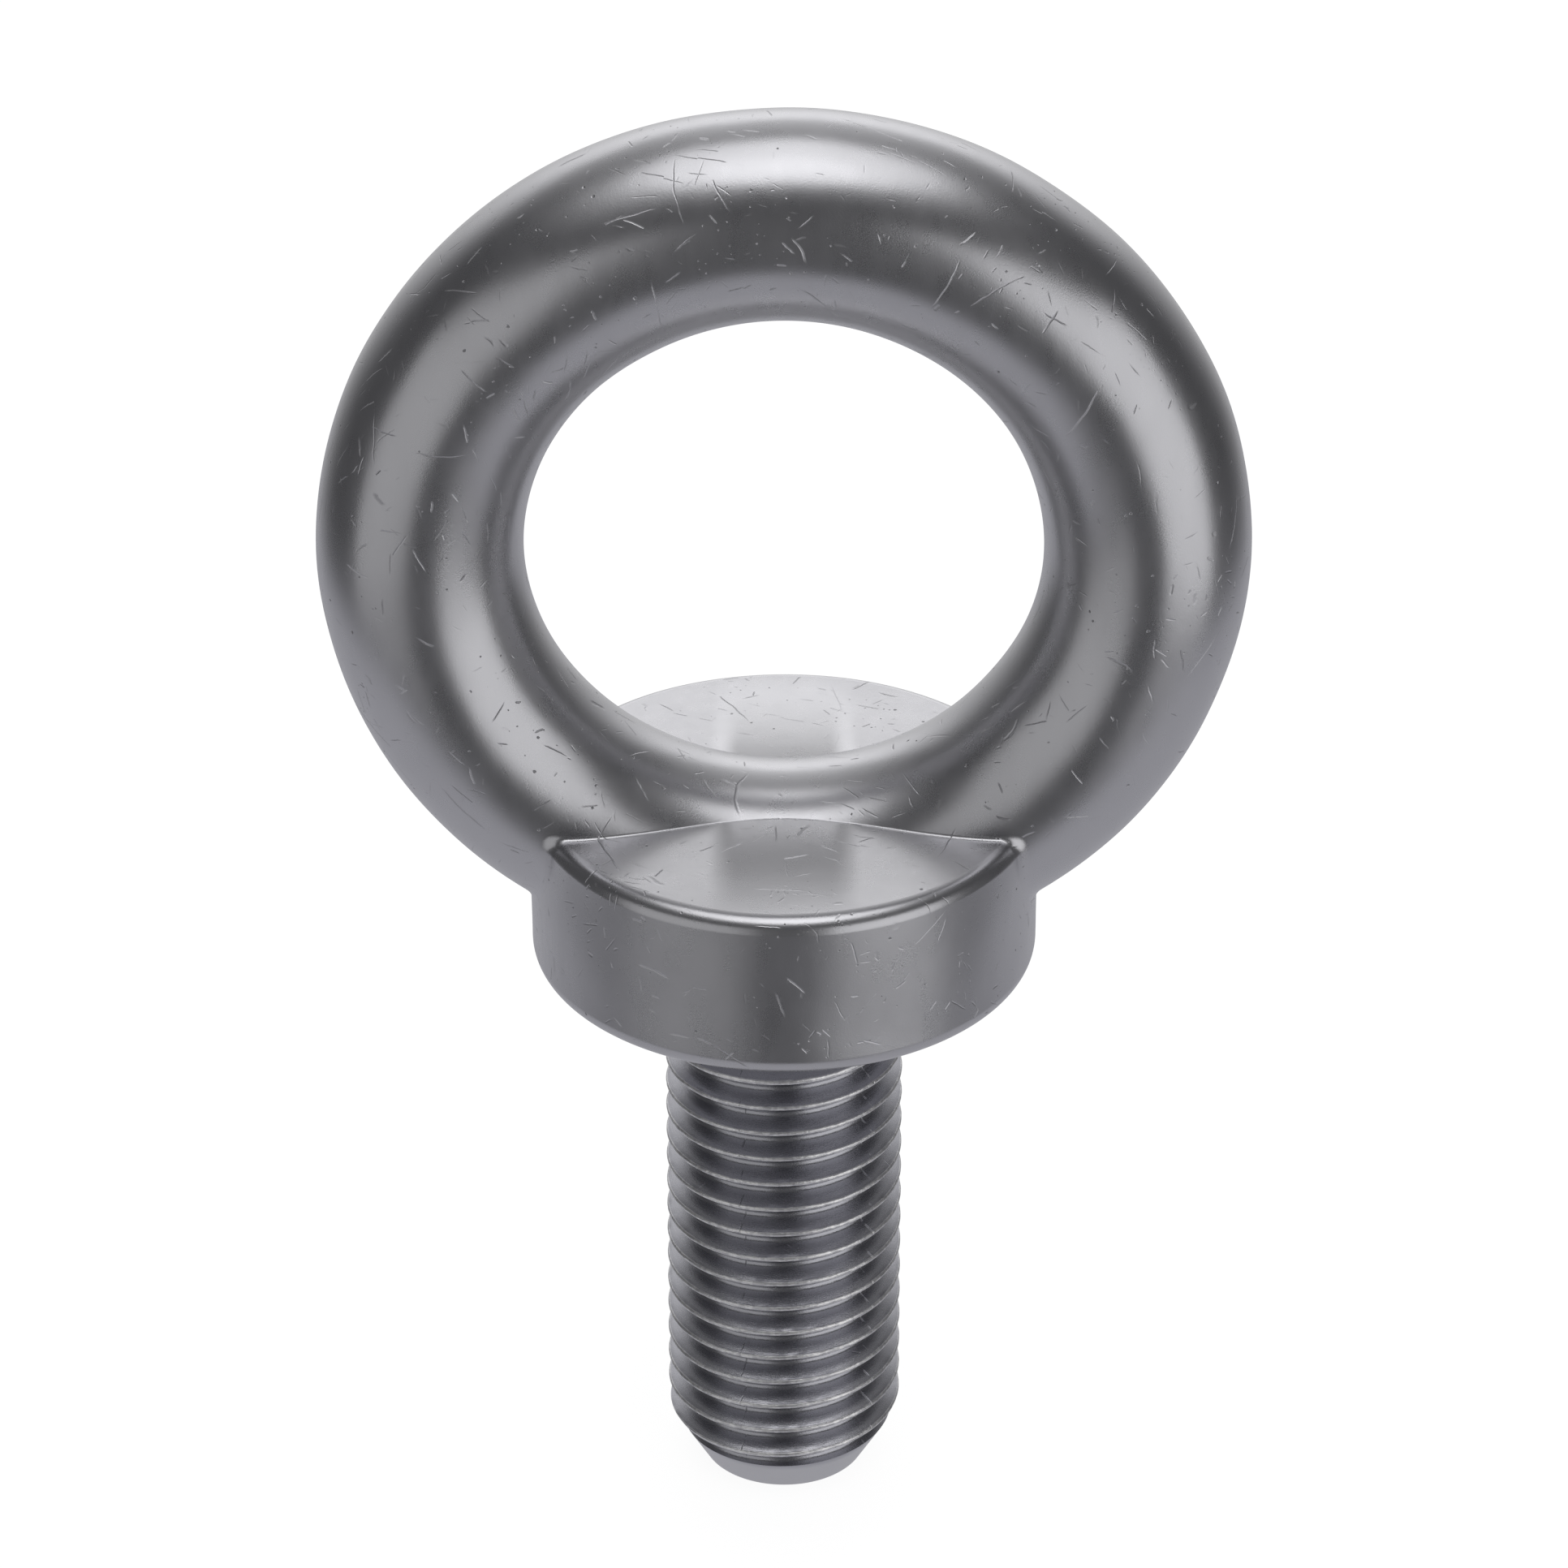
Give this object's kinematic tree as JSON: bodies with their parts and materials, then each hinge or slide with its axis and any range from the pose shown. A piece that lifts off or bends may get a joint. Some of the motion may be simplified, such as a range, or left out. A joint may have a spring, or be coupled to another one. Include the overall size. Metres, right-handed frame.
{
  "type": "eye bolt",
  "caption": "Forged lifting eye bolt: a round ring on a thick round collar, above a long right-hand threaded shank with a coned end.",
  "frame": {"origin": "centre of the collar's bearing face, on the axis of the shank", "axes": "+Z along the shank's axis, up through the eye; the eye's own axis is +Y, so the ring lies in the XZ plane"},
  "size_m": [0.09, 0.05, 0.15],
  "materials": {
    "forged_steel": "satin forged and tumbled steel, lightly scratched",
    "thread_steel": "dark satin steel with bright worn crests"
  },
  "bodies": {
    "root": {"eye": "forged_steel", "collar": "forged_steel", "shank": "forged_steel", "thread": "thread_steel"}
  },
  "joints": []
}
